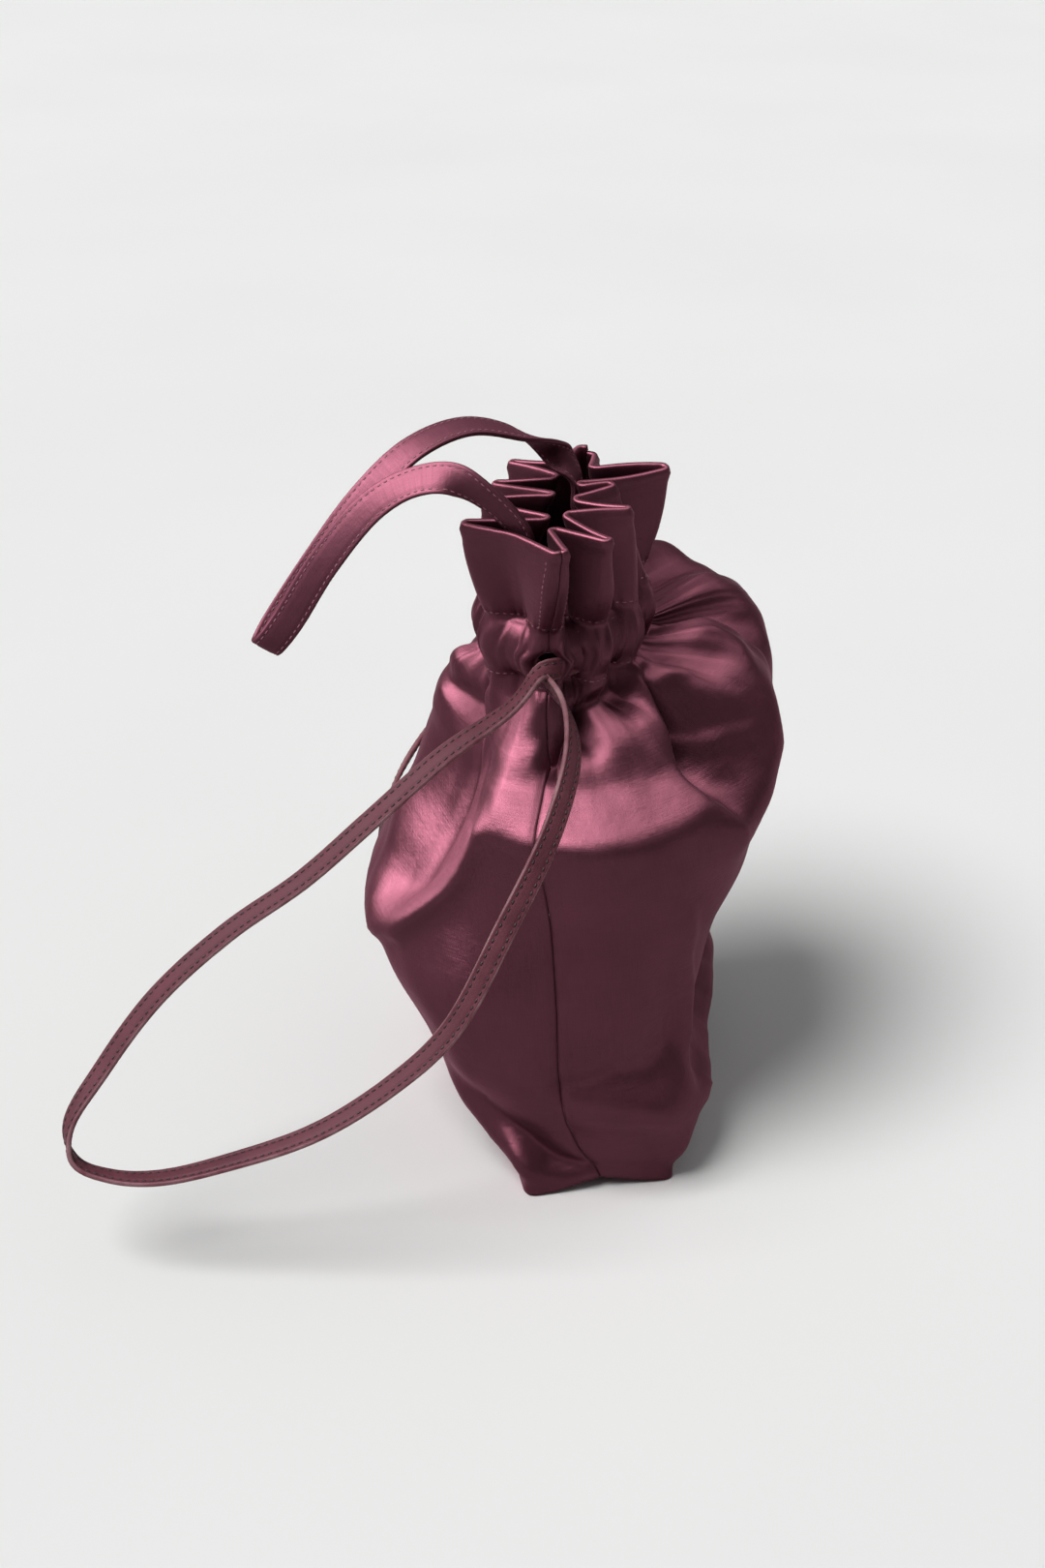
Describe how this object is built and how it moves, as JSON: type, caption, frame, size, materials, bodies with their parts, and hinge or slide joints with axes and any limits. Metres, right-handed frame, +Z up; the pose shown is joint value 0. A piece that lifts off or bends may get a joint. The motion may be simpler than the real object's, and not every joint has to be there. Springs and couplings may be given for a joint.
{
  "type": "drawstring pouch",
  "caption": "Standing satin kinchaku pouch with a gathered frilled mouth, flat leather drawstrings that pull from either side, and a satin loop handle.",
  "frame": {"origin": "centre of the flat base's underside, where the pouch stands", "axes": "+Z up through the mouth; X along the long side of the base, from the near side seam at -X to the far one at +X; the front panel is at -Y and the back panel at +Y"},
  "size_m": [0.2582, 0.2539, 0.2541],
  "materials": {
    "satin": "satin weave",
    "base_satin": "satin weave",
    "leather": "smooth, satin sheen"
  },
  "bodies": {
    "root": {"front_panel": "satin", "back_panel": "satin", "base_panel": "base_satin", "handle_strap": "satin", "drawstring_left": "leather", "drawstring_right": "leather"}
  },
  "joints": []
}
